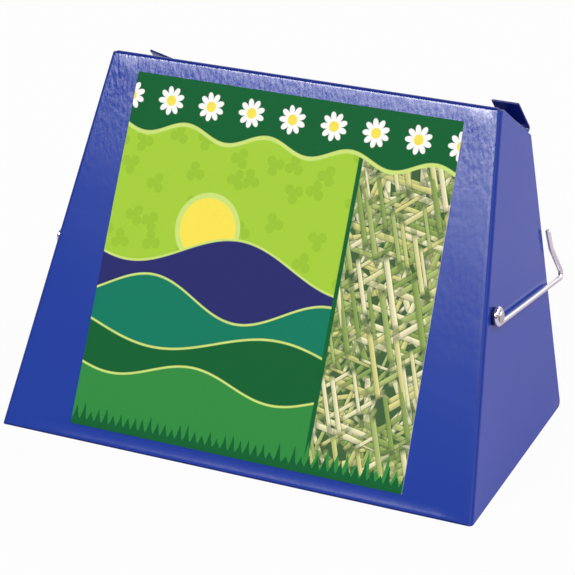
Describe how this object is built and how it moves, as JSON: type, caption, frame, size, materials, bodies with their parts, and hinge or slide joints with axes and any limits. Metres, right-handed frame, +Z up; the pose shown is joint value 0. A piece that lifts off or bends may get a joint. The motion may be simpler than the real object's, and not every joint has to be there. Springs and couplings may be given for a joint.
{
  "type": "hay rack",
  "caption": "Folded sheet-steel hay rack for a wire cage, with riveted wire hooks on its ends, V-folded tabs at the back and a paper label on the front.",
  "frame": {"origin": "middle of the outer edge of the front rim, on the plane that the rim rests on", "axes": "+X across the width to the right seen from the front, +Y from the front panel to the open back, +Z up from the mouth rim to the narrow end. The rack is in its pictured pose, standing on its mouth. In use it hangs the other way up."},
  "size_m": [0.2536, 0.1371, 0.1656],
  "materials": {
    "blue_paint": "glossy dark blue baked paint with orange peel",
    "label_paper": "printed satin paper",
    "plated_wire": "bright plated steel wire",
    "rivet_steel": "dull plated steel"
  },
  "bodies": {
    "rack": {"rack_body": "blue_paint", "label": "label_paper", "rivet_right": "rivet_steel", "rivet_left": "rivet_steel", "washer_right": "rivet_steel", "washer_left": "rivet_steel"},
    "right_hook": {"hook_right": "plated_wire"},
    "left_hook": {"hook_left": "plated_wire"}
  },
  "joints": [
    {"name": "right_hook_turn", "type": "hinge", "parent": "rack", "child": "right_hook", "pos_m": [0.11486, 0.05351, 0.07917], "axis": [0.9915, 0.0968, 0.0866], "continuous": true},
    {"name": "left_hook_turn", "type": "hinge", "parent": "rack", "child": "left_hook", "pos_m": [-0.11486, 0.05351, 0.07917], "axis": [-0.9915, 0.0968, 0.0866], "continuous": true}
  ]
}
